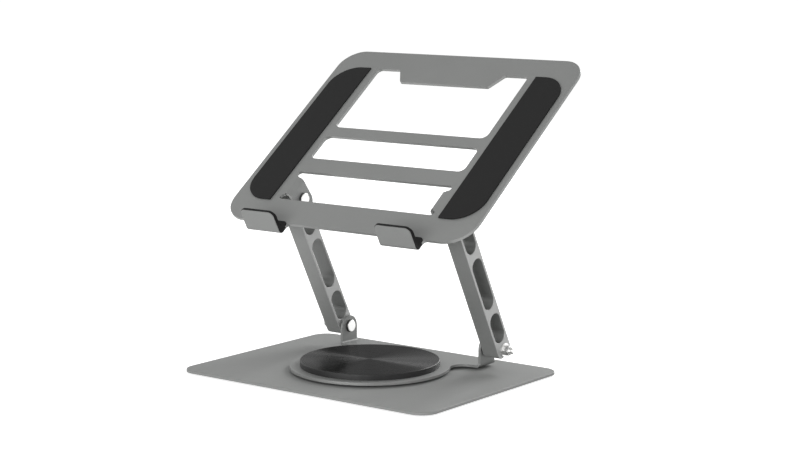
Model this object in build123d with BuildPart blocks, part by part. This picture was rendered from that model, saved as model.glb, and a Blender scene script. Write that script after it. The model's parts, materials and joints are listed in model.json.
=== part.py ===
from build123d import *
import os
from math import cos, radians, sin

# Folding laptop stand with a tilting tray, two friction-hinged legs and a swivel base.
# Frame: origin on the swivel axis at the resting plane, +Z up, +X to the stand's right,
# -Y to the front, where the user sits. All sizes are in millimetres.

# Clearances shared by every fit
running_gap = 0.08        # radial, pin or stud turning in its hole
face_gap = 0.05           # axial, between faces that turn on each other
seat_gap = 0.04           # radial, between fixed round pieces

# Base plate and the rubber sheet under it
base_width = 262.0
base_depth = 195.0
base_thickness = 2.5
base_corner = 15.0
base_edge = 0.5
pad_thickness = 1.0
pad_inset = 4.0
base_top = pad_thickness + base_thickness

# Swivel: flanged stud, thrust washer, spring washer and nut
stud_radius = 4.0
stud_flange_radius = 9.0
stud_flange_thickness = 1.2
stud_overrun = 0.3
thrust_washer_radius = 34.0
thrust_washer_thickness = 1.7
spring_washer_radius = 10.0
spring_washer_thickness = 0.6
swivel_nut_width = 13.0
swivel_nut_height = 2.5
nut_chamfer = 0.6

# Swivel plate: a disc with two arms, each bent up into an ear
swivel_radius = 68.7
swivel_thickness = 2.3
arm_half_depth = 11.8
arm_fillet = 11.5
bend_radius = 1.6
ear_half_width = 10.5
ear_flare = arm_half_depth - ear_half_width
ear_overlap = 1.0         # how far an ear's strip runs into its arm
lower_ear_drop = 1.2      # how far the ear's round centre lies below the pin

# Cover disc on the swivel plate
cover_radius = 59.8
cover_height = 5.15
cover_top_wall = 1.3
cover_rim_wall = 4.0
cover_edge = 0.7
cover_boss_radius = 4.5
cover_hub_radius = 16.0
cover_hub_wall = 1.6
cover_screw_count = 3
cover_screw_circle = 38.0
cover_screw_radius = 1.5
cover_screw_head_radius = 2.9
cover_screw_length = 5.6

# Legs
leg_span = 138.0          # pin to pin
leg_depth = 18.8
leg_width = 16.0
leg_lean = 27.8           # from upright, top towards the front, at rest
leg_chamfer = 1.0
pocket_width = 15.2
pocket_depth = 5.4
end_pocket_start = 8.6    # from the pin to the near end of an end pocket
end_pocket_length = 28.4
pocket_rib = 7.0          # solid rib between two pockets

# Hinge hardware, the same at all four pins
bolt_radius = 2.5
bolt_head_radius = 5.5
bolt_head_height = 2.5
bolt_head_round = 0.8
bolt_end_chamfer = 0.6
bolt_overrun = 1.8
bush_radius = 4.0
friction_washer_radius = 7.6
friction_washer_thickness = 1.4
outer_washer_radius = 6.0
outer_washer_thickness = 1.1
lock_nut_width = 8.0
lock_nut_height = 5.0
lock_nut_collar_radius = 3.4
lock_nut_collar_height = 1.4
lock_nut_chamfer = 0.5

# Places of the two pin axes and of the ears
ear_face = 76.6           # outer face of every ear, from the middle of the stand
lower_pin_y = 65.2
lower_pin_rise = 18.3     # above the base's top face
lower_pin_z = base_top + lower_pin_rise
leg_inner_face = ear_face + friction_washer_thickness
leg_outer_face = leg_inner_face + leg_width
upper_pin_y = lower_pin_y - leg_span * sin(radians(leg_lean))
upper_pin_z = lower_pin_z + leg_span * cos(radians(leg_lean))

# Tray
tray_width = 260.0
tray_length = 225.0
tray_thickness = 2.5
tray_tilt = 36.64
tray_front_corner = 25.5
tray_rear_corner = 22.0
tray_pin_setback = 45.4   # from the tray's front edge back to the pin
tray_pin_drop = 16.2      # from the tray's top face down to the pin
tray_ear_round_drop = 3.9 # how far the ear's round centre lies below the pin
tray_bend_radius = 2.5
notch_radius = 3.0
rear_window_front = 121.7
rear_window_rear = 202.0
rear_window_side = 48.6   # from the tray's side to the window
rear_window_half_width = tray_width / 2 - rear_window_side
rear_window_front_radius = 6.5
rear_window_rear_radius = 5.0
tab_half_width = 47.5
tab_root_half_width = 57.0
tab_front = 186.0
tab_radius = 2.5
middle_window_front = 80.3
middle_window_rear = 109.7
middle_window_side = 48.0
middle_window_half_width = tray_width / 2 - middle_window_side
middle_window_radius = 6.0
front_window_side_margin = 7.0  # from an ear's side to the window's front or rear edge

# Hooks at the tray's front edge and their rubber liners
hook_width = 36.1
hook_side = 14.9          # from a hook to the start of the tray's rounded corner
hook_outer = tray_width / 2 - tray_front_corner - hook_side
hook_inner = hook_outer - hook_width
hook_reach = 12.0
hook_height = 20.3
hook_lean = 8.0
hook_bend_radius = 1.5
hook_root_radius = 3.5
hook_corner = 4.8
liner_thickness = 1.0
liner_wrap = 0.35         # how thick the rubber is over the lip's cut edges
liner_top_setdown = 1.4   # from the lip's top down to the top of the rubber on its back
liner_floor_overlap = 1.5
liner_corner = 4.0
liner_bend_radius = 0.5   # inside the liner's own bend
liner_front_reveal = 0.5  # bare metal left showing at the lip's front edge
sleeve_clearance = hook_root_radius  # the sleeve stops where the tab spreads into the tray

# Rubber strips on the tray
strip_side = 6.0          # from the tray's side to a strip
strip_inner = 89.5
strip_outer = tray_width / 2 - strip_side
strip_front = 25.3
strip_rear = 201.5
strip_end = 10.0          # straight run at a strip's ends, beside its rounded corners
strip_corner = strip_outer - strip_inner - strip_end
strip_thickness = 1.2

os.makedirs("parts", exist_ok=True)


def save(piece, name):
    """Label a finished piece and write its STEP file."""
    piece.part.label = name
    export_step(piece.part, f"parts/{name}.step")


# ---------------------------------------------------------------- base
with BuildPart() as base_plate:
    with BuildSketch(Plane.XY.offset(pad_thickness)):
        RectangleRounded(base_width, base_depth, base_corner)
    extrude(amount=base_thickness)
    chamfer(base_plate.edges().group_by(Axis.Z)[-1], base_edge)
    with BuildSketch(Plane.XY.offset(pad_thickness)):
        Circle(stud_flange_radius + seat_gap)
    extrude(amount=stud_flange_thickness + face_gap, mode=Mode.SUBTRACT)
    with BuildSketch(Plane.XY.offset(pad_thickness)):
        Circle(stud_radius + seat_gap)
    extrude(amount=base_thickness, mode=Mode.SUBTRACT)
save(base_plate, "base_plate")

with BuildPart() as base_pad:
    with BuildSketch():
        RectangleRounded(base_width - 2 * pad_inset, base_depth - 2 * pad_inset, base_corner - pad_inset)
    extrude(amount=pad_thickness)
save(base_pad, "base_pad")

# ---------------------------------------------------------------- swivel bearing
swivel_plate_z = base_top + thrust_washer_thickness
swivel_top = swivel_plate_z + swivel_thickness
swivel_nut_z = swivel_top + spring_washer_thickness

with BuildPart() as pivot_stud:
    with BuildSketch(Plane.XY.offset(pad_thickness)):
        Circle(stud_flange_radius)
    extrude(amount=stud_flange_thickness)
    with BuildSketch(Plane.XY.offset(pad_thickness)):
        Circle(stud_radius)
    extrude(amount=swivel_nut_z + swivel_nut_height + stud_overrun - pad_thickness)
    chamfer(pivot_stud.edges().group_by(Axis.Z)[-1], stud_overrun)
save(pivot_stud, "pivot_stud")

with BuildPart() as thrust_washer:
    with BuildSketch(Plane.XY.offset(base_top)):
        Circle(thrust_washer_radius)
        Circle(stud_radius + seat_gap, mode=Mode.SUBTRACT)
    extrude(amount=thrust_washer_thickness)
save(thrust_washer, "thrust_washer")

with BuildPart() as spring_washer:
    with BuildSketch(Plane.XY.offset(swivel_top)):
        Circle(spring_washer_radius)
        Circle(stud_radius + seat_gap, mode=Mode.SUBTRACT)
    extrude(amount=spring_washer_thickness)
save(spring_washer, "spring_washer")

with BuildPart() as swivel_nut:
    with BuildSketch(Plane.XY.offset(swivel_nut_z)):
        Circle(swivel_nut_width / 2 / cos(radians(30)))
    extrude(amount=swivel_nut_height)
    chamfer(swivel_nut.edges(), nut_chamfer)
    with BuildSketch(Plane.XY.offset(swivel_nut_z)):
        RegularPolygon(swivel_nut_width / 2, 6, major_radius=False)
        Circle(stud_radius + seat_gap, mode=Mode.SUBTRACT)
    extrude(amount=swivel_nut_height, mode=Mode.INTERSECT)
save(swivel_nut, "swivel_nut")

# ---------------------------------------------------------------- swivel plate with its two ears
ear_inner_face = ear_face - swivel_thickness
bend_start = ear_inner_face - bend_radius
lower_round_z = lower_pin_z - lower_ear_drop

# One ear: an L-shaped strip with a round bend, trimmed to a round top and a flared foot
with BuildPart() as lower_ear:
    with BuildSketch(Plane.XZ.offset(-lower_pin_y)):
        with BuildLine() as bend_line:
            FilletPolyline(
                (bend_start - ear_overlap, swivel_plate_z + swivel_thickness / 2),
                (ear_face - swivel_thickness / 2, swivel_plate_z + swivel_thickness / 2),
                (ear_face - swivel_thickness / 2, lower_round_z + ear_half_width),
                radius=bend_radius + swivel_thickness / 2,
            )
        trace(bend_line.line, swivel_thickness)
    extrude(amount=ear_half_width + ear_flare, both=True)
    with BuildSketch(Plane.YZ) as lower_outline:
        with Locations((lower_pin_y, lower_round_z)):
            Circle(ear_half_width)
        with Locations((lower_pin_y, (swivel_plate_z + lower_round_z) / 2)):
            Rectangle(2 * ear_half_width, lower_round_z - swivel_plate_z)
        with Locations((lower_pin_y, swivel_plate_z + swivel_thickness / 2)):
            Rectangle(2 * (ear_half_width + ear_flare), swivel_thickness)
        shoulders = lower_outline.vertices().filter_by_position(Axis.Y, swivel_top - face_gap, swivel_top + face_gap)
        fillet(shoulders.sort_by(Axis.X)[1:3], ear_flare)
    extrude(amount=ear_face, mode=Mode.INTERSECT)
    with BuildSketch(Plane.YZ):
        with Locations((lower_pin_y, lower_pin_z)):
            Circle(bolt_radius + seat_gap)
    extrude(amount=ear_face, mode=Mode.SUBTRACT)

with BuildPart() as swivel_plate:
    with BuildSketch(Plane.XY.offset(swivel_plate_z)) as plate_outline:
        with Locations((0, lower_pin_y)):
            Rectangle(2 * bend_start, 2 * arm_half_depth)
        Circle(swivel_radius)
        throats = plate_outline.vertices().filter_by_position(Axis.Y, 0, lower_pin_y - arm_half_depth + face_gap)
        fillet(throats.filter_by(lambda corner: abs(corner.X) < bend_start - face_gap), arm_fillet)
        Circle(stud_radius + running_gap, mode=Mode.SUBTRACT)
        with PolarLocations(cover_screw_circle, cover_screw_count, start_angle=90):
            Circle(cover_screw_radius + seat_gap, mode=Mode.SUBTRACT)
    extrude(amount=swivel_thickness)
    with BuildSketch(Plane.XY.offset(swivel_plate_z)):
        with PolarLocations(cover_screw_circle, cover_screw_count, start_angle=90):
            Circle(cover_screw_head_radius + seat_gap)
    head_depth = cover_screw_head_radius - cover_screw_radius
    extrude(amount=head_depth, taper=45, mode=Mode.SUBTRACT)
    add(lower_ear.part)
    mirror(lower_ear.part, about=Plane.YZ)
save(swivel_plate, "swivel_plate")

# ---------------------------------------------------------------- cover disc and its screws
with BuildPart() as turntable_cover:
    with BuildSketch(Plane.XY.offset(swivel_top)):
        Circle(cover_radius)
    extrude(amount=cover_height)
    fillet(turntable_cover.edges().group_by(Axis.Z)[-1], cover_edge)
    with BuildSketch(Plane.XY.offset(swivel_top)):
        Circle(cover_radius - cover_rim_wall)
        Circle(cover_hub_radius + cover_hub_wall, mode=Mode.SUBTRACT)
        Circle(cover_hub_radius)
        with PolarLocations(cover_screw_circle, cover_screw_count, start_angle=90):
            Circle(cover_boss_radius, mode=Mode.SUBTRACT)
    extrude(amount=cover_height - cover_top_wall, mode=Mode.SUBTRACT)
    with BuildSketch(Plane.XY.offset(swivel_top)):
        with PolarLocations(cover_screw_circle, cover_screw_count, start_angle=90):
            Circle(cover_screw_radius + seat_gap)
    extrude(amount=cover_height - cover_top_wall, mode=Mode.SUBTRACT)
save(turntable_cover, "turntable_cover")

with BuildPart() as cover_screws:
    with BuildSketch(Plane.XY.offset(swivel_plate_z)):
        with PolarLocations(cover_screw_circle, cover_screw_count, start_angle=90):
            Circle(cover_screw_head_radius)
    extrude(amount=head_depth, taper=45)
    with BuildSketch(Plane.XY.offset(swivel_plate_z)):
        with PolarLocations(cover_screw_circle, cover_screw_count, start_angle=90):
            Circle(cover_screw_radius)
    extrude(amount=cover_screw_length)
save(cover_screws, "cover_screws")


# ---------------------------------------------------------------- legs and their bushes
def leg_plane(side, reach):
    """A plane across the stand at the lower pin: its X runs up the leg, its Z outwards."""
    up_the_leg = (0, -sin(radians(leg_lean)), cos(radians(leg_lean)))
    return Plane(origin=(side * reach, lower_pin_y, lower_pin_z), x_dir=up_the_leg, z_dir=(side, 0, 0))


pocket_lengths = [end_pocket_length, 0, end_pocket_length]
pocket_lengths[1] = leg_span - 2 * (end_pocket_start + end_pocket_length + pocket_rib)
pocket_centres = [
    end_pocket_start + end_pocket_length / 2,
    leg_span / 2,
    leg_span - end_pocket_start - end_pocket_length / 2,
]

for side, word in ((-1, "left"), (1, "right")):
    with BuildPart() as leg:
        with BuildSketch(leg_plane(side, leg_inner_face)):
            with Locations((leg_span / 2, 0)):
                SlotCenterToCenter(leg_span, leg_depth)
        extrude(amount=leg_width)
        chamfer(leg.faces().filter_by(Axis.X).edges(), leg_chamfer)
        for reach, inwards in ((leg_inner_face, 1), (leg_outer_face, -1)):
            with BuildSketch(leg_plane(side, reach)):
                for centre, length in zip(pocket_centres, pocket_lengths):
                    with Locations((centre, 0)):
                        SlotOverall(length, pocket_width)
            extrude(amount=inwards * pocket_depth, mode=Mode.SUBTRACT)
        with BuildSketch(leg_plane(side, leg_inner_face)):
            with Locations((0, 0), (leg_span, 0)):
                Circle(bush_radius + seat_gap)
        extrude(amount=leg_width, mode=Mode.SUBTRACT)
    save(leg, f"{word}_leg")

    for station, place in ((0, "lower"), (leg_span, "upper")):
        with BuildPart() as bush:
            with BuildSketch(leg_plane(side, leg_inner_face)):
                with Locations((station, 0)):
                    Circle(bush_radius)
                    Circle(bolt_radius + running_gap, mode=Mode.SUBTRACT)
            extrude(amount=leg_width)
        save(bush, f"{word}_{place}_bush")

# ---------------------------------------------------------------- hinge bolts, washers and lock nuts
outer_washer_face = leg_outer_face + face_gap
lock_nut_face = outer_washer_face + outer_washer_thickness
lock_nut_end = lock_nut_face + lock_nut_height + lock_nut_collar_height
bolt_end = lock_nut_end + bolt_overrun
tray_ear_inner_face = ear_face - tray_thickness
hinges = (
    ("lower", lower_pin_y, lower_pin_z, ear_inner_face),
    ("upper", upper_pin_y, upper_pin_z, tray_ear_inner_face - face_gap),
)

for side, word in ((-1, "left"), (1, "right")):
    for place, pin_y, pin_z, head_seat in hinges:

        def across(reach):
            """A plane across the pin at this reach from the middle, facing outwards."""
            return Plane(origin=(side * reach, pin_y, pin_z), x_dir=(0, 1, 0), z_dir=(side, 0, 0))

        with BuildPart() as bolt:
            with BuildSketch(across(head_seat)):
                Circle(bolt_head_radius)
            extrude(amount=-bolt_head_height)
            fillet(bolt.edges().sort_by(Axis.X)[0 if side > 0 else -1], bolt_head_round)
            with BuildSketch(across(head_seat)):
                Circle(bolt_radius)
            extrude(amount=bolt_end - head_seat)
            chamfer(bolt.edges().sort_by(Axis.X)[-1 if side > 0 else 0], bolt_end_chamfer)
        save(bolt, f"{word}_{place}_bolt")

        with BuildPart() as friction_washer:
            with BuildSketch(across(ear_face + face_gap)):
                Circle(friction_washer_radius)
                Circle(bolt_radius + seat_gap, mode=Mode.SUBTRACT)
            extrude(amount=friction_washer_thickness - 2 * face_gap)
        save(friction_washer, f"{word}_{place}_friction_washer")

        with BuildPart() as outer_washer:
            with BuildSketch(across(outer_washer_face)):
                Circle(outer_washer_radius)
                Circle(bolt_radius + seat_gap, mode=Mode.SUBTRACT)
            extrude(amount=outer_washer_thickness)
        save(outer_washer, f"{word}_{place}_outer_washer")

        with BuildPart() as lock_nut:
            with BuildSketch(across(lock_nut_face)):
                Circle(lock_nut_width / 2 / cos(radians(30)))
            extrude(amount=lock_nut_height)
            chamfer(lock_nut.edges(), lock_nut_chamfer)
            with BuildSketch(across(lock_nut_face)):
                RegularPolygon(lock_nut_width / 2, 6, major_radius=False)
            extrude(amount=lock_nut_height, mode=Mode.INTERSECT)
            with BuildSketch(across(lock_nut_face + lock_nut_height)):
                Circle(lock_nut_collar_radius)
            extrude(amount=lock_nut_collar_height)
            with BuildSketch(across(lock_nut_face)):
                Circle(bolt_radius + seat_gap)
            extrude(amount=lock_nut_end - lock_nut_face, mode=Mode.SUBTRACT)
        save(lock_nut, f"{word}_{place}_lock_nut")

# ---------------------------------------------------------------- tray with its ears and hooks
# Tray coordinates: X across, Y back along the tray from its front edge, Z out of its top face
tray_cos = cos(radians(tray_tilt))
tray_sin = sin(radians(tray_tilt))
tray_front_y = upper_pin_y - tray_pin_setback * tray_cos - tray_pin_drop * tray_sin
tray_front_z = upper_pin_z - tray_pin_setback * tray_sin + tray_pin_drop * tray_cos
tray_top = Plane(origin=(0, tray_front_y, tray_front_z), x_dir=(1, 0, 0), z_dir=(0, -tray_sin, tray_cos))


def tray_section(reach):
    """A plane across the tray at this reach from the middle: X back along the tray, Y out of it."""
    return Plane(
        origin=(reach, tray_front_y, tray_front_z),
        x_dir=(0, tray_cos, tray_sin),
        z_dir=(1, 0, 0),
    )


tray_bend_line = tray_ear_inner_face + tray_thickness + tray_bend_radius
window_front = tray_pin_setback - ear_half_width - front_window_side_margin
window_rear = tray_pin_setback + ear_half_width + front_window_side_margin
ear_round_drop = tray_pin_drop + tray_ear_round_drop

# One ear: bent down from the side of the front window, with a round lower end
with BuildPart() as tray_ear:
    ear_section = Plane(
        origin=(0, tray_front_y + tray_pin_setback * tray_cos, tray_front_z + tray_pin_setback * tray_sin),
        x_dir=(1, 0, 0),
        z_dir=(0, -tray_cos, -tray_sin),
    )
    with BuildSketch(ear_section):
        with BuildLine() as tray_bend:
            FilletPolyline(
                (tray_bend_line + notch_radius, -tray_thickness / 2),
                (ear_face - tray_thickness / 2, -tray_thickness / 2),
                (ear_face - tray_thickness / 2, -ear_round_drop - ear_half_width),
                radius=tray_bend_radius + tray_thickness / 2,
            )
        trace(tray_bend.line, tray_thickness)
    extrude(amount=ear_half_width, both=True)
    with BuildSketch(tray_section(tray_ear_inner_face)):
        with Locations((tray_pin_setback, -ear_round_drop)):
            Circle(ear_half_width)
        with Locations((tray_pin_setback, -ear_round_drop / 2)):
            Rectangle(2 * ear_half_width, ear_round_drop)
    extrude(amount=tray_bend_line + notch_radius - tray_ear_inner_face, mode=Mode.INTERSECT)
    with BuildSketch(tray_section(tray_ear_inner_face)):
        with Locations((tray_pin_setback, -tray_pin_drop)):
            Circle(bolt_radius + running_gap)
    extrude(amount=tray_thickness, mode=Mode.SUBTRACT)

# One hook: a tab off the front edge, turned up into a lip that leans back over the tray
hook_middle = (hook_inner + hook_outer) / 2
lip_run = hook_height + tray_thickness / 2


def lip_point(height, inset):
    """A point on the lip, this high above the tab's mid-plane and this far in from its mid-plane."""
    foot_y = -hook_reach + tray_thickness / 2
    lean = radians(hook_lean)
    return (foot_y + height * sin(lean) / cos(lean) + inset / cos(lean), height - tray_thickness / 2)


with BuildPart() as hook:
    with BuildSketch(tray_section(hook_inner)):
        with BuildLine() as hook_line:
            FilletPolyline(
                (hook_root_radius, -tray_thickness / 2),
                lip_point(0, 0),
                lip_point(lip_run, 0),
                radius=hook_bend_radius + tray_thickness / 2,
            )
        trace(hook_line.line, tray_thickness)
    extrude(amount=hook_width)
    lip_across = Axis((0, 0, 0), (0, tray_cos, tray_sin)).direction.rotate(Axis.X, -hook_lean)
    lip_corners = hook.edges().filter_by(Axis((0, 0, 0), lip_across)).sort_by(Axis.Z)[-2:]
    fillet(lip_corners, hook_corner)

with BuildPart() as tray_plate:
    with BuildSketch(tray_top) as tray_outline:
        with Locations((0, tray_length / 2)):
            Rectangle(tray_width, tray_length)
        fillet(tray_outline.vertices().group_by(Axis.Y)[0], tray_front_corner)
        fillet(tray_outline.vertices().group_by(Axis.Y)[-1], tray_rear_corner)
        with Locations((-hook_middle, -hook_root_radius / 2), (hook_middle, -hook_root_radius / 2)):
            Rectangle(hook_width, hook_root_radius)
        corners = tray_outline.vertices()
        fillet(corners.filter_by(lambda corner: abs(corner.X) < hook_outer + face_gap
                                 and abs(corner.Y) < face_gap), hook_root_radius - face_gap)
    extrude(amount=-tray_thickness)
    # Rear window, with a tab that hangs from its rear edge
    with BuildSketch(tray_top) as rear_window:
        with BuildLine():
            Polyline(
                (-rear_window_half_width, rear_window_front),
                (rear_window_half_width, rear_window_front),
                (rear_window_half_width, rear_window_rear),
                (tab_root_half_width, rear_window_rear),
                (tab_half_width, tab_front),
                (-tab_half_width, tab_front),
                (-tab_root_half_width, rear_window_rear),
                (-rear_window_half_width, rear_window_rear),
                close=True,
            )
        make_face()
        corners = rear_window.vertices()
        fillet(corners.group_by(Axis.Y)[0], rear_window_front_radius)
        corners = rear_window.vertices()
        fillet(corners.filter_by(lambda corner: abs(corner.X) > rear_window_half_width - face_gap
                                 and corner.Y > rear_window_rear - face_gap), rear_window_rear_radius)
        corners = rear_window.vertices()
        fillet(corners.filter_by(lambda corner: abs(corner.X) < tab_root_half_width + face_gap
                                 and corner.Y > tab_front - face_gap), tab_radius)
    extrude(amount=-tray_thickness, mode=Mode.SUBTRACT)
    # Middle window
    with BuildSketch(tray_top):
        with Locations((0, (middle_window_front + middle_window_rear) / 2)):
            RectangleRounded(
                2 * middle_window_half_width,
                middle_window_rear - middle_window_front,
                middle_window_radius,
            )
    extrude(amount=-tray_thickness, mode=Mode.SUBTRACT)
    # Front window, cut out between the two ears, with a round relief at each end of each bend
    with BuildSketch(tray_top):
        with Locations((0, tray_pin_setback)):
            Rectangle(2 * tray_bend_line, window_rear - window_front)
            relief_y = (window_rear - window_front) / 2 - notch_radius
            with Locations(
                (tray_bend_line + face_gap, relief_y),
                (tray_bend_line + face_gap, -relief_y),
                (-tray_bend_line - face_gap, relief_y),
                (-tray_bend_line - face_gap, -relief_y),
            ):
                Circle(notch_radius)
    extrude(amount=-tray_thickness, mode=Mode.SUBTRACT)
    add(tray_ear.part)
    mirror(tray_ear.part, about=Plane.YZ)
    add(hook.part)
    mirror(hook.part, about=Plane.YZ)
save(tray_plate, "tray_plate")

# ---------------------------------------------------------------- rubber strips and hook liners
for side, word in ((-1, "left"), (1, "right")):
    with BuildPart() as strip:
        with BuildSketch(tray_top) as strip_outline:
            with Locations((side * (strip_inner + strip_outer) / 2, (strip_front + strip_rear) / 2)):
                Rectangle(strip_outer - strip_inner, strip_rear - strip_front)
            fillet(strip_outline.vertices().sort_by(Axis.X)[2:] if side > 0
                   else strip_outline.vertices().sort_by(Axis.X)[:2], strip_corner)
        extrude(amount=strip_thickness)
    save(strip, f"{word}_strip")

    # A back pad over the lip and the tab, and a thin sleeve over their cut edges
    with BuildPart() as liner_pad:
        liner_start = hook_inner - liner_wrap if side > 0 else -hook_outer - liner_wrap
        with BuildSketch(tray_section(liner_start)):
            inset = (tray_thickness + liner_thickness) / 2
            with BuildLine() as pad_line:
                FilletPolyline(
                    (liner_floor_overlap, liner_thickness / 2),
                    lip_point(inset, inset),
                    lip_point(lip_run - liner_top_setdown, inset),
                    radius=liner_bend_radius + liner_thickness / 2,
                )
            trace(pad_line.line, liner_thickness)
        extrude(amount=hook_width + 2 * liner_wrap)
        pad_corners = liner_pad.edges().filter_by(Axis((0, 0, 0), lip_across)).sort_by(Axis.Z)[-2:]
        fillet(pad_corners, hook_corner)
        floor_edges = liner_pad.edges().filter_by(Axis((0, 0, 0), tray_top.z_dir)).sort_by(Axis.Y)[-2:]
        fillet(floor_edges, liner_corner)
    with BuildPart() as sleeve:
        with BuildSketch(tray_section(liner_start)):
            setback = liner_front_reveal / 2
            with BuildLine() as sleeve_line:
                FilletPolyline(
                    (-sleeve_clearance, -tray_thickness / 2 + setback),
                    lip_point(setback, setback),
                    lip_point(lip_run + liner_wrap, setback),
                    radius=hook_bend_radius + (tray_thickness - liner_front_reveal) / 2,
                )
            trace(sleeve_line.line, tray_thickness - liner_front_reveal)
        extrude(amount=hook_width + 2 * liner_wrap)
        sleeve_corners = sleeve.edges().filter_by(Axis((0, 0, 0), lip_across)).sort_by(Axis.Z)[-2:]
        fillet(sleeve_corners, hook_corner + liner_wrap)
        add(tray_plate.part, mode=Mode.SUBTRACT)
    with BuildPart() as liner:
        add(liner_pad.part)
        add(sleeve.part)
    save(liner, f"{word}_hook_liner")
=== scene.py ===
import json
import math
import bmesh
import bpy
from mathutils import Matrix, Vector


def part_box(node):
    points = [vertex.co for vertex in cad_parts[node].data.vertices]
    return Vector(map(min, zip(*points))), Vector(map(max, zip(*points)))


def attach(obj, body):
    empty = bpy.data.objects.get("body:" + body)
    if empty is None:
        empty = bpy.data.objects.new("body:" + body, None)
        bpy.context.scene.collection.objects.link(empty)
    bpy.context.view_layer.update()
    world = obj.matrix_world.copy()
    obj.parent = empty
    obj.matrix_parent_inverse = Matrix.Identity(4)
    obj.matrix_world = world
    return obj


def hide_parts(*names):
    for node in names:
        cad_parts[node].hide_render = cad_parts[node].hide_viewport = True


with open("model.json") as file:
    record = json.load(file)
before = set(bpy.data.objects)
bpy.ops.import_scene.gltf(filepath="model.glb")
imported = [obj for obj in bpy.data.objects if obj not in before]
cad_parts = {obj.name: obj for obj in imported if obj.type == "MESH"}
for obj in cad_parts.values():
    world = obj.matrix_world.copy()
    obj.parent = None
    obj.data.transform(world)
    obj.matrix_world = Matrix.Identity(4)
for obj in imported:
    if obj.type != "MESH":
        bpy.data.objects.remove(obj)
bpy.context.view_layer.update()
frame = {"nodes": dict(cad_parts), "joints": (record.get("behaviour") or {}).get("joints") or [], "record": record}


# ---------------------------------------------------------------- base plate
# A flat steel sheet with rounded corners that stands on the desk. It is laser cut, its top
# edge is broken, and it is finished with a fine matte grey powder coat.
def new_material(name):
    """An empty procedural material: its node tree, its shader and its Object coordinates."""
    material = bpy.data.materials.new(name)
    material.use_nodes = True
    tree = material.node_tree
    shader = tree.nodes["Principled BSDF"]
    coordinates = tree.nodes.new("ShaderNodeTexCoord")
    return material, tree, shader, coordinates.outputs["Object"]


def grain(tree, place, scale, detail=3.0):
    """Fine noise at this many grains to the metre."""
    noise = tree.nodes.new("ShaderNodeTexNoise")
    noise.inputs["Scale"].default_value = scale
    noise.inputs["Detail"].default_value = detail
    tree.links.new(place, noise.inputs["Vector"])
    return noise.outputs["Fac"]


def spread(tree, source, low, high, start=0.35, stop=0.65):
    """Remaps a noise value to run from low to high."""
    span = tree.nodes.new("ShaderNodeMapRange")
    span.inputs["From Min"].default_value = start
    span.inputs["From Max"].default_value = stop
    span.inputs["To Min"].default_value = low
    span.inputs["To Max"].default_value = high
    tree.links.new(source, span.inputs["Value"])
    return span.outputs["Result"]


def tint(tree, source, dark, light):
    """A colour that runs from dark to light with the source."""
    ramp = tree.nodes.new("ShaderNodeValToRGB")
    ramp.color_ramp.elements[0].color = (*dark, 1)
    ramp.color_ramp.elements[0].position = 0.35
    ramp.color_ramp.elements[1].color = (*light, 1)
    ramp.color_ramp.elements[1].position = 0.65
    tree.links.new(source, ramp.inputs["Fac"])
    return ramp.outputs["Color"]


def relief(tree, source, shader, height, strength=1.0):
    """Raises the surface by this height, in metres, where the source is bright."""
    bump = tree.nodes.new("ShaderNodeBump")
    bump.inputs["Distance"].default_value = height
    bump.inputs["Strength"].default_value = strength
    tree.links.new(source, bump.inputs["Height"])
    tree.links.new(bump.outputs["Normal"], shader.inputs["Normal"])


def matte_metal(name, dark, light, grains, metallic, rough_low, rough_high, height):
    """A grey sheet finish with a fine grain in its colour, its gloss and its surface."""
    material, tree, shader, place = new_material(name)
    speck = grain(tree, place, grains)
    cloud = grain(tree, place, 14.0, 2.0)
    shader.inputs["Metallic"].default_value = metallic
    both = tree.nodes.new("ShaderNodeMath")
    both.operation = "MULTIPLY_ADD"
    both.inputs[1].default_value = 0.35
    tree.links.new(cloud, both.inputs[0])
    part = tree.nodes.new("ShaderNodeMath")
    part.operation = "MULTIPLY"
    part.inputs[1].default_value = 0.65
    tree.links.new(speck, part.inputs[0])
    tree.links.new(part.outputs[0], both.inputs[2])
    tree.links.new(tint(tree, both.outputs[0], dark, light), shader.inputs["Base Color"])
    tree.links.new(spread(tree, speck, rough_low, rough_high), shader.inputs["Roughness"])
    relief(tree, speck, shader, height)
    return material


powder_coat = matte_metal(
    "powder_coat", (0.235, 0.24, 0.235), (0.275, 0.28, 0.275), 3200.0, 0.0, 0.55, 0.68, 0.00003)


def dress(piece, *materials):
    """Gives a piece these materials, in this order."""
    piece.data.materials.clear()
    for material in materials:
        piece.data.materials.append(material)


def rounded(mesh, edge, segments, angle=30.0):
    """A finished copy of a mesh: its sharp edges rounded off, its flat faces shaded flat."""
    shape = bmesh.new()
    shape.from_mesh(mesh)
    bmesh.ops.remove_doubles(shape, verts=shape.verts, dist=0.000002)
    for face in shape.faces:
        face.smooth = True
    shape.to_mesh(mesh)
    shape.free()
    rough = bpy.data.objects.new("rough", mesh)
    bpy.context.scene.collection.objects.link(rough)
    if edge:
        bevel = rough.modifiers.new("edges", "BEVEL")
        bevel.width = edge
        bevel.segments = segments
        bevel.limit_method = "ANGLE"
        bevel.angle_limit = math.radians(angle)
        bevel.loop_slide = False
    flat = rough.modifiers.new("flat_faces", "WEIGHTED_NORMAL")
    flat.weight = 90
    graph = bpy.context.evaluated_depsgraph_get()
    finished = bpy.data.meshes.new_from_object(rough.evaluated_get(graph))
    bpy.data.objects.remove(rough)
    return finished


def stand_for(node, body, slot, mesh, *materials):
    """Puts a finished mesh in the place of a node, on its body."""
    piece = bpy.data.objects.new(node + "_finished", mesh)
    bpy.context.scene.collection.objects.link(piece)
    dress(piece, *materials)
    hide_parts(node)
    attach(piece, body)
    return piece


def softened(node, body, slot, edge, segments, *materials):
    """The node's own solid with its sharp edges rounded off."""
    solid = frame["nodes"][node].data.copy()
    return stand_for(node, body, slot, rounded(solid, edge, segments), *materials)


softened("base_plate", "base", "base_metal", 0.0003, 2, powder_coat)

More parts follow.
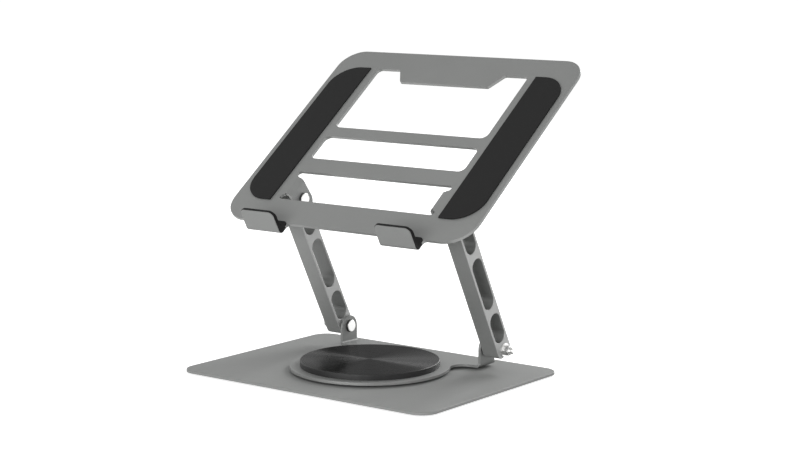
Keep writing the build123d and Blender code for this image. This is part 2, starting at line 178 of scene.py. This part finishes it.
# ---------------------------------------------------------------- base pad
# A thin rubber sheet glued under the base plate, so that the stand doesn't slide.
# It is moulded with a fine grip pattern on its underside.
def rubber(name, dark, light, rough, grains, height):
    """Matte black rubber with a fine moulded grain."""
    material, tree, shader, place = new_material(name)
    speck = grain(tree, place, grains)
    shader.inputs["Specular IOR Level"].default_value = 0.15
    tree.links.new(tint(tree, speck, dark, light), shader.inputs["Base Color"])
    tree.links.new(spread(tree, speck, rough - 0.05, rough + 0.05), shader.inputs["Roughness"])
    relief(tree, speck, shader, height)
    return material


grip_rubber = rubber(
    "grip_rubber", (0.010, 0.010, 0.010), (0.018, 0.018, 0.018), 0.8, 1500.0, 0.00012)
softened("base_pad", "base", "black_rubber", 0.0003, 2, grip_rubber)


# ---------------------------------------------------------------- swivel bearing
# A flanged steel stud pressed up through the base carries an acetal thrust washer, and a
# spring washer and a nut hold the swivel plate down on it.
def plated_steel(name, tone, rough_low, rough_high, scale):
    """Bright zinc-plated steel, lightly turned."""
    material, tree, shader, place = new_material(name)
    shader.inputs["Metallic"].default_value = 1.0
    mark = grain(tree, place, scale)
    dark = tuple(channel * 0.93 for channel in tone)
    tree.links.new(tint(tree, mark, dark, tone), shader.inputs["Base Color"])
    tree.links.new(spread(tree, mark, rough_low, rough_high), shader.inputs["Roughness"])
    relief(tree, mark, shader, 0.000006)
    return material


bright_zinc = plated_steel("bright_zinc", (0.86, 0.86, 0.85), 0.20, 0.34, 2600.0)
acetal, acetal_tree, acetal_shader, acetal_place = new_material("acetal")
acetal_speck = grain(acetal_tree, acetal_place, 900.0)
acetal_tree.links.new(
    tint(acetal_tree, acetal_speck, (0.62, 0.62, 0.58), (0.70, 0.70, 0.66)),
    acetal_shader.inputs["Base Color"])
acetal_shader.inputs["Roughness"].default_value = 0.45
for node in ("pivot_stud", "spring_washer", "swivel_nut"):
    dress(frame["nodes"][node], bright_zinc)
dress(frame["nodes"]["thrust_washer"], acetal)

# ---------------------------------------------------------------- swivel plate
# Cut and bent from bead-blasted aluminium sheet: a disc with two arms, each turned up into
# an ear that carries a leg. Its cut edges get a brighter copy of the sheet finish, a painted
# highlight along the edges.
blasted_sheet = matte_metal(
    "blasted_sheet", (0.225, 0.23, 0.225), (0.265, 0.27, 0.265), 3600.0, 0.25, 0.48, 0.60, 0.00002)
# The cut-edge finish is the sheet finish made lighter, a painted highlight, and a little glossier.
cut_edge_highlight = matte_metal(
    "cut_edge_highlight", (0.235, 0.24, 0.235), (0.30, 0.305, 0.30), 2400.0, 0.4, 0.36, 0.46, 0.00001)


swivel = softened("swivel_plate", "turntable", "grey_metal", 0.00025, 2, blasted_sheet, cut_edge_highlight)
swivel_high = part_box("swivel_plate")[1]
ear_depth, ear_round_depth = 0.0040, 0.0100
ear_start = swivel_high.x - ear_depth
ear_round = swivel_high.z - ear_round_depth
# A face looks across a direction when its normal has less than the first share along it,
# and looks along it when its normal has more than the second.
looks_across, looks_along = 0.35, 0.65
# The disc's rim walls and the ears' cut walls take the lighter finish: a painted highlight.
for polygon in swivel.data.polygons:
    spot, normal = polygon.center, polygon.normal
    on_ear = abs(spot.x) > ear_start
    on_disc_wall = not on_ear and abs(normal.z) < looks_across
    on_ear_wall = on_ear and abs(normal.x) < looks_across and (
        abs(normal.y) > looks_along or spot.z > ear_round)
    if on_disc_wall or on_ear_wall:
        polygon.material_index = 1

# ---------------------------------------------------------------- cover disc and its screws
# A black anodised aluminium disc, turned in fine circles on its top, screwed on from below.
turned, turned_tree, turned_shader, turned_place = new_material("turned_black")
turned_shader.inputs["Metallic"].default_value = 1.0
turned_shader.inputs["Specular Tint"].default_value = (0.55, 0.55, 0.55, 1)
turned_shader.inputs["Anisotropic"].default_value = 1.0
turned_split = turned_tree.nodes.new("ShaderNodeSeparateXYZ")
turned_tree.links.new(turned_place, turned_split.inputs[0])
turned_flat = turned_tree.nodes.new("ShaderNodeCombineXYZ")
turned_tree.links.new(turned_split.outputs["X"], turned_flat.inputs["X"])
turned_tree.links.new(turned_split.outputs["Y"], turned_flat.inputs["Y"])
turned_radius = turned_tree.nodes.new("ShaderNodeVectorMath")
turned_radius.operation = "LENGTH"
turned_tree.links.new(turned_flat.outputs[0], turned_radius.inputs[0])
turned_rings = turned_tree.nodes.new("ShaderNodeTexNoise")
turned_rings.noise_dimensions = "1D"
turned_rings.inputs["Scale"].default_value = 1400.0
turned_rings.inputs["Detail"].default_value = 4.0
turned_tree.links.new(turned_radius.outputs["Value"], turned_rings.inputs["W"])
turned_tree.links.new(turned_flat.outputs[0], turned_shader.inputs["Tangent"])
turned_tree.links.new(
    tint(turned_tree, turned_rings.outputs["Fac"], (0.030, 0.030, 0.030), (0.055, 0.055, 0.055)),
    turned_shader.inputs["Base Color"])
turned_tree.links.new(
    spread(turned_tree, turned_rings.outputs["Fac"], 0.26, 0.34), turned_shader.inputs["Roughness"])
relief(turned_tree, turned_rings.outputs["Fac"], turned_shader, 0.00002)
disc_side = matte_metal(
    "anodised_black", (0.012, 0.012, 0.012), (0.020, 0.020, 0.020), 2600.0, 0.3, 0.38, 0.5, 0.00001)
cover = softened("turntable_cover", "turntable", "black_disc", 0.0002, 2, disc_side, turned)
cover_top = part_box("turntable_cover")[1].z
cover_skin = 0.0005
for polygon in cover.data.polygons:
    if polygon.normal.z > 0.9 and polygon.center.z > cover_top - cover_skin:
        polygon.material_index = 1
dress(frame["nodes"]["cover_screws"], bright_zinc)

# ---------------------------------------------------------------- legs and their bushes
# Two aluminium bars with rounded ends, slotted right through by milling and bead blasted,
# with an acetal bush pressed in at each end. Their flat sides get a lighter copy of the bar
# finish, painted light from the side, and their slot walls a darker copy, painted shade.
leg_finish = matte_metal(
    "blasted_bar", (0.225, 0.23, 0.225), (0.275, 0.28, 0.275), 3000.0, 0.2, 0.44, 0.54, 0.00002)
# The flat sides' finish: the bar finish made lighter, painted light from the side.
painted_lit_side = matte_metal(
    "painted_lit_side", (0.40, 0.405, 0.40), (0.46, 0.465, 0.46), 3000.0, 0.2, 0.40, 0.50, 0.00001)
# The slot walls' finish: the bar finish made darker, painted shade inside the slots.
slot_wall_shade = matte_metal(
    "slot_wall_shade", (0.20, 0.205, 0.20), (0.25, 0.255, 0.25), 2200.0, 0.3, 0.40, 0.52, 0.00002)
joints = {joint["name"]: joint for joint in frame["joints"]}
low_pin, high_pin = Vector(joints["leg_lift"]["pos_m"]), Vector(joints["tray_tilt"]["pos_m"])
low_pin.x = high_pin.x = 0.0
leg_run = (high_pin - low_pin).length
leg_axis = (high_pin - low_pin).normalized()
leg_across = leg_axis.cross(Vector((1, 0, 0))).normalized()
leg_half_depth, leg_overrun, leg_corner, leg_edge = 0.0094, 0.0055, 0.0055, 0.0005
slot_half_width, slot_start, slot_length, slot_rib = 0.0073, 0.0086, 0.0284, 0.0070
bush_radius = 0.0040
flank_skin, flank_share, wall_inset, end_clear = 0.0001, 0.3, 0.0012, 0.004
slot_next = slot_start + slot_length + slot_rib


def rounded_outline(curve, low, high, half_width, corner):
    """Adds a closed outline with round corners to a flat curve, from low to high along it."""
    points = []
    for turn, across, along in (
            (0, 1, high - corner), (1, -1, high - corner), (2, -1, low + corner), (3, 1, low + corner)):
        for step in range(17):
            angle = math.pi / 2 * (turn + step / 16)
            point = Vector((across * (half_width - corner) + corner * math.cos(angle),
                            along + corner * math.sin(angle), 0, 1))
            if not points or (point - points[-1]).length > 0.00001:
                points.append(point)
    if (points[0] - points[-1]).length < 0.00001:
        points.pop()
    spline = curve.splines.new("POLY")
    spline.points.add(len(points) - 1)
    for place, point in zip(spline.points, points):
        place.co = point
    spline.use_cyclic_u = True


for side in ("left", "right"):
    leg_low, leg_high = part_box(side + "_leg")
    bar = bpy.data.curves.new(side + "_bar", "CURVE")
    bar.dimensions = "2D"
    bar.fill_mode = "BOTH"
    bar.extrude = (leg_high.x - leg_low.x) / 2 - leg_edge
    bar.bevel_depth = leg_edge
    bar.bevel_resolution = 1
    bar.offset = -leg_edge
    rounded_outline(bar, -leg_overrun, leg_run + leg_overrun, leg_half_depth, leg_corner)
    rounded_outline(bar, slot_start, slot_start + slot_length, slot_half_width, slot_half_width)
    rounded_outline(bar, slot_next, leg_run - slot_next, slot_half_width, slot_half_width)
    rounded_outline(bar, leg_run - slot_start - slot_length, leg_run - slot_start,
                    slot_half_width, slot_half_width)
    rounded_outline(bar, -bush_radius, bush_radius, bush_radius, bush_radius)
    rounded_outline(bar, leg_run - bush_radius, leg_run + bush_radius, bush_radius, bush_radius)
    bar_object = bpy.data.objects.new(side + "_bar", bar)
    bpy.context.scene.collection.objects.link(bar_object)
    bar_mesh = bpy.data.meshes.new_from_object(
        bar_object.evaluated_get(bpy.context.evaluated_depsgraph_get()))
    bpy.data.objects.remove(bar_object)
    place = Matrix((leg_across, leg_axis, Vector((1, 0, 0)))).transposed().to_4x4()
    place.translation = low_pin + Vector(((leg_low.x + leg_high.x) / 2, 0, 0))
    bar_mesh.transform(place)
    closed = bmesh.new()
    closed.from_mesh(bar_mesh)
    bmesh.ops.remove_doubles(closed, verts=closed.verts, dist=0.000002)
    bmesh.ops.recalc_face_normals(closed, faces=closed.faces)
    closed.to_mesh(bar_mesh)
    closed.free()
    leg = stand_for(side + "_leg", side + "_leg", "leg_metal", rounded(bar_mesh, 0, 0),
                    leg_finish, painted_lit_side, slot_wall_shade)
    for polygon in leg.data.polygons:
        spot = polygon.center
        from_side = min(spot.x - leg_low.x, leg_high.x - spot.x)
        along = (spot - low_pin).dot(leg_axis)
        across = abs((spot - low_pin).dot(leg_across))
        # Flat sides take the painted light, slot walls the painted shade.
        polygon.material_index = 0
        if from_side < leg_edge + flank_skin and abs(polygon.normal.x) > flank_share:
            polygon.material_index = 1
        elif across < leg_half_depth - wall_inset and end_clear < along < leg_run - end_clear:
            polygon.material_index = 2
    for end in ("lower", "upper"):
        dress(frame["nodes"][f"{side}_{end}_bush"], acetal)

# ---------------------------------------------------------------- hinge bolts, washers and nuts
# Low round-headed bolts, zinc-plated washers and lock nuts, with a black friction washer
# between each ear and its leg, which holds the stand where it is put. The sides of the bolt
# heads are painted dark, as shade round each head.
friction_black = rubber(
    "friction_black", (0.010, 0.010, 0.010), (0.016, 0.016, 0.016), 0.6, 1800.0, 0.00003)
head_zinc = plated_steel("head_zinc", (0.80, 0.80, 0.79), 0.28, 0.40, 2600.0)
# The head's side wall finish: a dark copy of the plated steel, painted shade.
head_rim_shade = plated_steel("head_rim_shade", (0.13, 0.13, 0.13), 0.35, 0.45, 2600.0)
rim_radius, rim_share = 0.0046, 0.7
for side in ("left", "right"):
    for end, body, pin in (("lower", "turntable", low_pin), ("upper", "top_bolts", high_pin)):
        bolt = softened(f"{side}_{end}_bolt", body, "bright_steel", 0.0002, 2, head_zinc, head_rim_shade)
        # Faces on the head's side, off its top, take the painted shade.
        for polygon in bolt.data.polygons:
            from_axis = (Vector((0, polygon.center.y, polygon.center.z)) - pin).length
            if from_axis > rim_radius and abs(polygon.normal.x) < rim_share:
                polygon.material_index = 1
        softened(f"{side}_{end}_lock_nut", body, "bright_steel", 0.0002, 2, head_zinc)
        dress(frame["nodes"][f"{side}_{end}_outer_washer"], bright_zinc)
        dress(frame["nodes"][f"{side}_{end}_friction_washer"], friction_black)

# ---------------------------------------------------------------- bolt threads
# The rolled thread that shows on each bolt beyond its lock nut: one ridge wound round the
# shank, the same at both ends of a pin.
thread = bpy.data.node_groups.new("bolt_thread", "GeometryNodeTree")
for socket, kind in (("Shank Radius", "NodeSocketFloat"), ("Pitch", "NodeSocketFloat"),
                     ("Length", "NodeSocketFloat"), ("Ridge", "NodeSocketFloat"),
                     ("Reach", "NodeSocketFloat"), ("Pin", "NodeSocketVector"),
                     ("Finish", "NodeSocketMaterial")):
    thread.interface.new_socket(socket, in_out="INPUT", socket_type=kind)
thread.interface.new_socket("Geometry", in_out="OUTPUT", socket_type="NodeSocketGeometry")
sizes = thread.nodes.new("NodeGroupInput")
turns = thread.nodes.new("ShaderNodeMath")
turns.operation = "DIVIDE"
thread.links.new(sizes.outputs["Length"], turns.inputs[0])
thread.links.new(sizes.outputs["Pitch"], turns.inputs[1])
helix = thread.nodes.new("GeometryNodeCurveSpiral")
helix.inputs["Resolution"].default_value = 32
thread.links.new(turns.outputs[0], helix.inputs["Rotations"])
thread.links.new(sizes.outputs["Shank Radius"], helix.inputs["Start Radius"])
thread.links.new(sizes.outputs["Shank Radius"], helix.inputs["End Radius"])
thread.links.new(sizes.outputs["Length"], helix.inputs["Height"])
ridge = thread.nodes.new("GeometryNodeCurvePrimitiveCircle")
ridge.inputs["Resolution"].default_value = 6
thread.links.new(sizes.outputs["Ridge"], ridge.inputs["Radius"])
wound = thread.nodes.new("GeometryNodeCurveToMesh")
wound.inputs["Fill Caps"].default_value = True
thread.links.new(helix.outputs["Curve"], wound.inputs["Curve"])
thread.links.new(ridge.outputs["Curve"], wound.inputs["Profile Curve"])
index = thread.nodes.new("GeometryNodeInputIndex")
way = thread.nodes.new("ShaderNodeMath")
way.operation = "MULTIPLY_ADD"
way.inputs[1].default_value = 2.0
way.inputs[2].default_value = -1.0
thread.links.new(index.outputs[0], way.inputs[0])
out_along = thread.nodes.new("ShaderNodeMath")
out_along.operation = "MULTIPLY"
thread.links.new(way.outputs[0], out_along.inputs[0])
thread.links.new(sizes.outputs["Reach"], out_along.inputs[1])
outward = thread.nodes.new("ShaderNodeCombineXYZ")
thread.links.new(out_along.outputs[0], outward.inputs["X"])
place = thread.nodes.new("ShaderNodeVectorMath")
thread.links.new(outward.outputs[0], place.inputs[0])
thread.links.new(sizes.outputs["Pin"], place.inputs[1])
ends = thread.nodes.new("GeometryNodePoints")
ends.inputs["Count"].default_value = 2
thread.links.new(place.outputs["Vector"], ends.inputs["Position"])
quarter = thread.nodes.new("ShaderNodeMath")
quarter.operation = "MULTIPLY"
quarter.inputs[1].default_value = math.pi / 2
thread.links.new(way.outputs[0], quarter.inputs[0])
turned_out = thread.nodes.new("ShaderNodeCombineXYZ")
thread.links.new(quarter.outputs[0], turned_out.inputs["Y"])
both_ends = thread.nodes.new("GeometryNodeInstanceOnPoints")
thread.links.new(ends.outputs[0], both_ends.inputs["Points"])
thread.links.new(wound.outputs["Mesh"], both_ends.inputs["Instance"])
thread.links.new(turned_out.outputs[0], both_ends.inputs["Rotation"])
solid = thread.nodes.new("GeometryNodeRealizeInstances")
thread.links.new(both_ends.outputs["Instances"], solid.inputs["Geometry"])
finish = thread.nodes.new("GeometryNodeSetMaterial")
thread.links.new(solid.outputs["Geometry"], finish.inputs["Geometry"])
thread.links.new(sizes.outputs["Finish"], finish.inputs["Material"])
made = thread.nodes.new("NodeGroupOutput")
thread.links.new(finish.outputs["Geometry"], made.inputs["Geometry"])
thread_sockets = {
    item.name: item.identifier for item in thread.interface.items_tree if item.in_out == "INPUT"}
nut_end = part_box("right_lower_lock_nut")[1].x
bare_end = [(math.hypot(corner.co.y - low_pin.y, corner.co.z - low_pin.z), corner.co.x)
            for corner in frame["nodes"]["right_lower_bolt"].data.vertices if corner.co.x > nut_end]
shank_radius = max(radius for radius, _ in bare_end)
full_round = shank_radius - 0.00005
bare_length = min(reach for radius, reach in bare_end if radius > full_round) - nut_end
coarse_pitch, thread_ridge = 0.0008, 0.0001
for end, body, pin in (("lower", "turntable", low_pin), ("upper", "top_bolts", high_pin)):
    winding = bpy.data.objects.new(end + "_winding", bpy.data.meshes.new(end + "_winding"))
    bpy.context.scene.collection.objects.link(winding)
    rolled = winding.modifiers.new("thread", "NODES")
    rolled.node_group = thread
    for socket, value in (("Shank Radius", shank_radius - thread_ridge / 2), ("Pitch", coarse_pitch),
                          ("Length", bare_length), ("Ridge", thread_ridge), ("Reach", nut_end),
                          ("Pin", pin), ("Finish", head_zinc)):
        rolled[thread_sockets[socket]] = value
    thread_mesh = bpy.data.meshes.new_from_object(
        winding.evaluated_get(bpy.context.evaluated_depsgraph_get()))
    bpy.data.objects.remove(winding)
    thread_mesh.materials.clear()
    thread_mesh.materials.append(head_zinc)
    threads = bpy.data.objects.new(end + "_bolt_threads", thread_mesh)
    bpy.context.scene.collection.objects.link(threads)
    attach(threads, body)

# ---------------------------------------------------------------- tray
# One bead-blasted aluminium sheet with three windows, two ears bent down to the legs and
# two hooks turned up at the front. Its cut walls get the lighter cut-edge finish, a painted
# highlight along the edges.
rest = next(mount for mount in frame["record"]["mounts"] if mount["name"] == "left_rest")
tray_normal = Vector(rest["axis"]).normalized()
tray_along = tray_normal.cross(Vector((1, 0, 0))).normalized()
lip_lean, tray_length = 8.0, 0.225
lip_up = (tray_normal + tray_along * math.tan(math.radians(lip_lean))).normalized()
sheet_top = min(
    vertex.co.dot(tray_normal) for vertex in frame["nodes"]["left_strip"].data.vertices)
sheet_back = max(vertex.co.dot(tray_along) for vertex in frame["nodes"]["tray_plate"].data.vertices)
sheet_front = sheet_back - tray_length
under_sheet, ear_end, hook_start, over_sheet, lip_end = -0.0026, -0.010, -0.0055, 0.0005, 0.010
tray = softened("tray_plate", "tray", "grey_metal", 0.00012, 2, blasted_sheet, cut_edge_highlight)
# Cut walls of the sheet, its ears and its hooks take the lighter finish: a painted highlight.
for polygon in tray.data.polygons:
    spot, normal = polygon.center, polygon.normal
    height = spot.dot(tray_normal) - sheet_top
    back = spot.dot(tray_along) - sheet_front
    if height < under_sheet:
        on_wall = abs(normal.x) < looks_across and (
            abs(normal.dot(tray_along)) > looks_along or height < ear_end)
    elif back < hook_start or height > over_sheet:
        on_wall = abs(normal.x) > looks_across or (
            normal.dot(lip_up) > looks_along and height > lip_end)
    else:
        on_wall = abs(normal.dot(tray_normal)) < looks_across
    if on_wall:
        polygon.material_index = 1

# ---------------------------------------------------------------- strips and hook liners
# Black silicone rubber: two flat strips stuck on the tray, and a liner moulded over the
# back and the edges of each hook.
strip_rubber = rubber(
    "strip_rubber", (0.014, 0.014, 0.014), (0.020, 0.020, 0.020), 0.72, 2200.0, 0.00004)
liner_rubber = rubber(
    "liner_rubber", (0.005, 0.005, 0.005), (0.009, 0.009, 0.009), 0.65, 2200.0, 0.00003)
for side in ("left", "right"):
    softened(side + "_strip", "tray", "black_rubber", 0.0004, 3, strip_rubber)
    softened(side + "_hook_liner", "tray", "black_rubber", 0.0003, 3, liner_rubber)

# ---------------------------------------------------------------- floor, light and camera
# A plain white floor under soft studio light, with the camera in front, to the right. The
# floor is clear from below, so that the underside can be seen.
floor_reach, floor_level, floor_glow, shade_level = 30.0, -0.0003, 0.76, 0.416
floor_mesh = bpy.data.meshes.new("floor")
floor_corners = [(x * floor_reach, y * floor_reach, floor_level)
                 for x, y in ((-1, -1), (1, -1), (1, 1), (-1, 1))]
floor_mesh.from_pydata(floor_corners, [], [(0, 1, 2, 3)])
floor = bpy.data.objects.new("floor", floor_mesh)
bpy.context.scene.collection.objects.link(floor)
white, white_tree, white_shader = new_material("white_floor")[:3]
white_shader.inputs["Base Color"].default_value = (0.8, 0.8, 0.8, 1)
white_shader.inputs["Roughness"].default_value = 1.0
white_shader.inputs["Specular IOR Level"].default_value = 0.0
white_path = white_tree.nodes.new("ShaderNodeLightPath")
white_seen = white_tree.nodes.new("ShaderNodeMath")
white_seen.operation = "MAXIMUM"
white_tree.links.new(white_path.outputs["Is Camera Ray"], white_seen.inputs[0])
white_tree.links.new(white_path.outputs["Is Glossy Ray"], white_seen.inputs[1])
white_glow = white_tree.nodes.new("ShaderNodeMath")
white_glow.operation = "MULTIPLY"
white_glow.inputs[1].default_value = floor_glow
white_tree.links.new(white_seen.outputs[0], white_glow.inputs[0])
white_shader.inputs["Emission Color"].default_value = (1, 1, 1, 1)
white_tree.links.new(white_glow.outputs[0], white_shader.inputs["Emission Strength"])
white_side = white_tree.nodes.new("ShaderNodeNewGeometry")
white_clear = white_tree.nodes.new("ShaderNodeBsdfTransparent")
white_mix = white_tree.nodes.new("ShaderNodeMixShader")
white_out = next(node for node in white_tree.nodes if node.type == "OUTPUT_MATERIAL")
white_tree.links.new(white_side.outputs["Backfacing"], white_mix.inputs["Fac"])
white_tree.links.new(white_shader.outputs[0], white_mix.inputs[1])
white_tree.links.new(white_clear.outputs[0], white_mix.inputs[2])
white_tree.links.new(white_mix.outputs[0], white_out.inputs["Surface"])
dress(floor, white)

world = bpy.data.worlds.new("studio")
bpy.context.scene.world = world
world.use_nodes = True
world_tree = world.node_tree
world_tree.nodes.clear()
sky = world_tree.nodes.new("ShaderNodeBackground")
sky_out = world_tree.nodes.new("ShaderNodeOutputWorld")
world_tree.links.new(sky.outputs[0], sky_out.inputs["Surface"])
sky_path = world_tree.nodes.new("ShaderNodeLightPath")
sky_seen = world_tree.nodes.new("ShaderNodeMath")
sky_seen.operation = "MAXIMUM"
world_tree.links.new(sky_path.outputs["Is Camera Ray"], sky_seen.inputs[0])
world_tree.links.new(sky_path.outputs["Is Transmission Ray"], sky_seen.inputs[1])
sky_mirrored = world_tree.nodes.new("ShaderNodeMath")
sky_mirrored.operation = "MAXIMUM"
world_tree.links.new(sky_seen.outputs[0], sky_mirrored.inputs[0])
world_tree.links.new(sky_path.outputs["Is Glossy Ray"], sky_mirrored.inputs[1])
sky_level = world_tree.nodes.new("ShaderNodeMapRange")
sky_level.inputs["To Min"].default_value = shade_level
sky_level.inputs["To Max"].default_value = 1.0
world_tree.links.new(sky_mirrored.outputs[0], sky_level.inputs["Value"])
world_tree.links.new(sky_level.outputs["Result"], sky.inputs["Strength"])


def soft_box(name, place, aim, width, height, power):
    """A soft rectangular lamp that points at the stand."""
    lamp = bpy.data.lights.new(name, "AREA")
    lamp.shape = "RECTANGLE"
    lamp.size = width
    lamp.size_y = height
    lamp.energy = power
    lamp_object = bpy.data.objects.new(name, lamp)
    lamp_object.location = place
    lamp_object.rotation_mode = "QUATERNION"
    lamp_object.rotation_quaternion = (Vector(aim) - Vector(place)).to_track_quat("-Z", "Y")
    bpy.context.scene.collection.objects.link(lamp_object)


soft_box("overhead", (-0.3, 0.2, 1.9), (0, 0, 0.1), 1.8, 1.8, 2.4)
soft_box("right", (1.9, -0.6, 0.8), (0, 0, 0.12), 1.2, 1.2, 8.0)
soft_box("front", (0.2, -1.8, 0.35), (0, 0, 0.12), 1.6, 0.6, 18.1)
soft_box("left", (-1.8, 0.1, 0.9), (0, 0, 0.10), 0.9, 0.9, 4.0)
soft_box("back", (0.1, 1.8, 0.9), (0, 0, 0.10), 0.9, 0.9, 27.8)

lens = bpy.data.cameras.new("camera")
lens.sensor_width = 36.0
lens.sensor_fit = "HORIZONTAL"
lens.lens = 87.07
lens.clip_start = 0.05
lens.clip_end = 100.0
camera = bpy.data.objects.new("camera", lens)
camera.location = (0.9958, -1.2712, 0.3702)
turn, rise, roll = math.radians(37.19), math.radians(8.51), math.radians(-0.11)
towards = Vector(
    (-math.sin(turn) * math.cos(rise), math.cos(turn) * math.cos(rise), -math.sin(rise)))
camera.rotation_mode = "QUATERNION"
camera.rotation_quaternion = (
    Matrix.Rotation(roll, 3, towards).to_quaternion() @ towards.to_track_quat("-Z", "Y"))
bpy.context.scene.collection.objects.link(camera)
bpy.context.scene.camera = camera
bpy.context.scene.view_settings.view_transform = "Standard"
